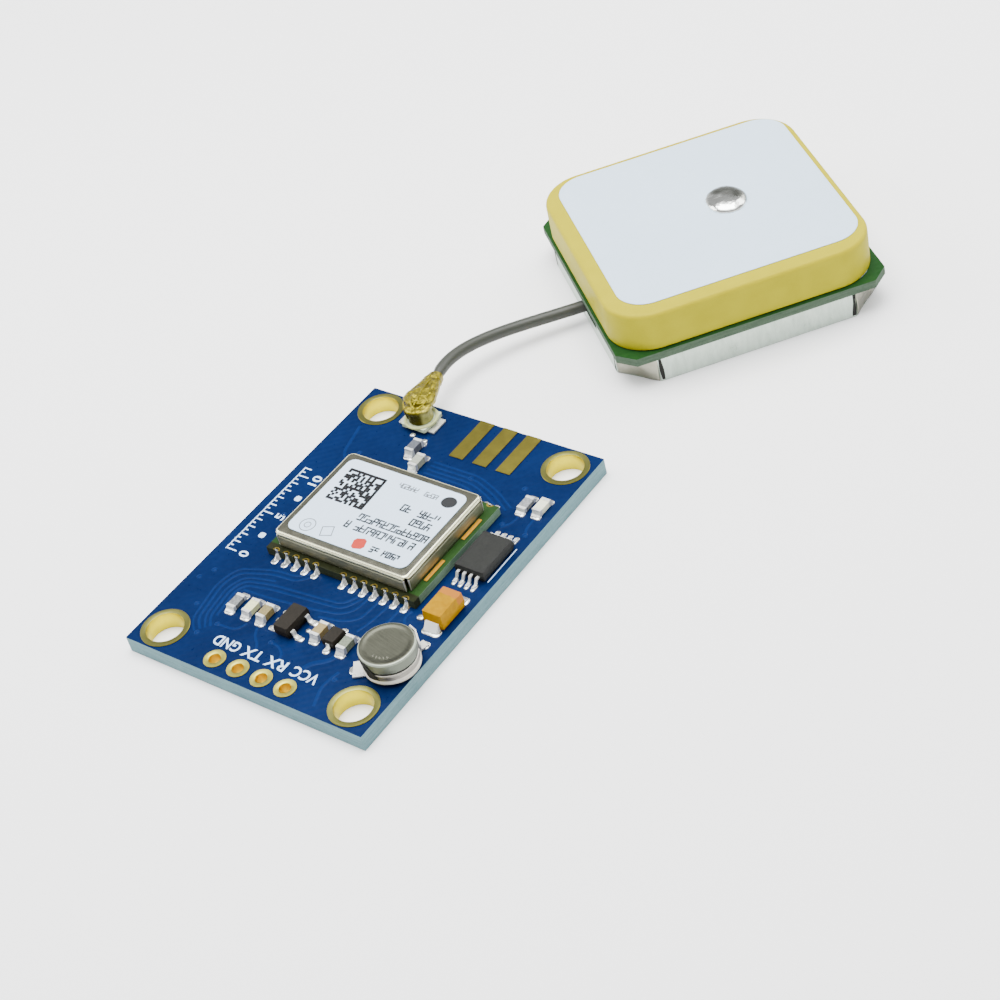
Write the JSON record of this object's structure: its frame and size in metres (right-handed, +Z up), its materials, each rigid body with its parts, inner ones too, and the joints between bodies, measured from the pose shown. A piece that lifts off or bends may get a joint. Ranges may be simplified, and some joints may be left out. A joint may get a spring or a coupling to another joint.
{
  "type": "gps module",
  "caption": "Satellite positioning receiver on a small blue carrier board, with a square ceramic patch antenna on a short thin coax lead.",
  "frame": {"origin": "centre of the carrier board's underside, on the surface that the board and the antenna lie on", "axes": "+Z up out of the board's component side, +Y along the board's long edge from the header holes towards the coax socket and the antenna, +X along its short edge towards the backup cell's side"},
  "size_m": [0.0365, 0.0793, 0.0079],
  "materials": {
    "board_mask": "satin",
    "gold_plating": "polished",
    "module_laminate": "satin",
    "cover_sheet": "satin",
    "label_film": "satin",
    "chip_black": "matte",
    "chip_grey": "satin",
    "socket_plastic": "satin",
    "bright_tin": "satin",
    "contact_gold": "satin",
    "white_insulator": "matte",
    "lead_jacket": "matte",
    "tantalum_yellow": "satin",
    "cell_steel": "satin",
    "gasket_black": "matte",
    "led_white": "satin",
    "capacitor_tan": "matte",
    "inductor_dark": "matte",
    "ceramic_cream": "satin",
    "electrode_silver": "satin",
    "feed_solder": "polished",
    "antenna_laminate": "satin",
    "shield_sheet": "satin"
  },
  "bodies": {
    "root": {"circuit_board": "board_mask", "hole_plating_1": "gold_plating", "hole_plating_2": "gold_plating", "hole_plating_3": "gold_plating", "hole_plating_4": "gold_plating", "header_plating_1": "gold_plating", "header_plating_2": "gold_plating", "header_plating_3": "gold_plating", "header_plating_4": "gold_plating", "edge_pad_1": "gold_plating", "edge_pad_2": "gold_plating", "edge_pad_3": "gold_plating", "module_board": "module_laminate", "module_cover": "cover_sheet", "module_label": "label_film", "ground_strip_1": "gold_plating", "ground_strip_2": "gold_plating", "receiver_chip": "chip_black", "reference_oscillator": "cell_steel", "receiver_filter": "chip_grey", "socket_base": "socket_plastic", "socket_shell": "bright_tin", "socket_pin": "contact_gold", "plug_shell": "contact_gold", "plug_insulator": "white_insulator", "plug_contact": "contact_gold", "coax_lead": "lead_jacket", "memory_chip": "chip_black", "voltage_regulator": "chip_black", "diode": "chip_black", "tantalum_capacitor": "tantalum_yellow", "cell_can": "cell_steel", "cell_gasket": "gasket_black", "cell_cap": "cell_steel", "cell_tab_near": "bright_tin", "cell_tab_far": "bright_tin", "resistor_1": "chip_grey", "resistor_2": "chip_grey", "led_1": "led_white", "led_2": "led_white", "capacitor_1": "capacitor_tan", "capacitor_2": "capacitor_tan", "capacitor_3": "capacitor_tan", "capacitor_4": "capacitor_tan", "inductor": "inductor_dark", "antenna_ceramic": "ceramic_cream", "antenna_electrode": "electrode_silver", "antenna_ground_layer": "electrode_silver", "antenna_feed_pin": "feed_solder", "antenna_board": "antenna_laminate", "antenna_shield": "shield_sheet", "amplifier_chip": "chip_black", "antenna_filter": "cell_steel"}
  },
  "joints": []
}
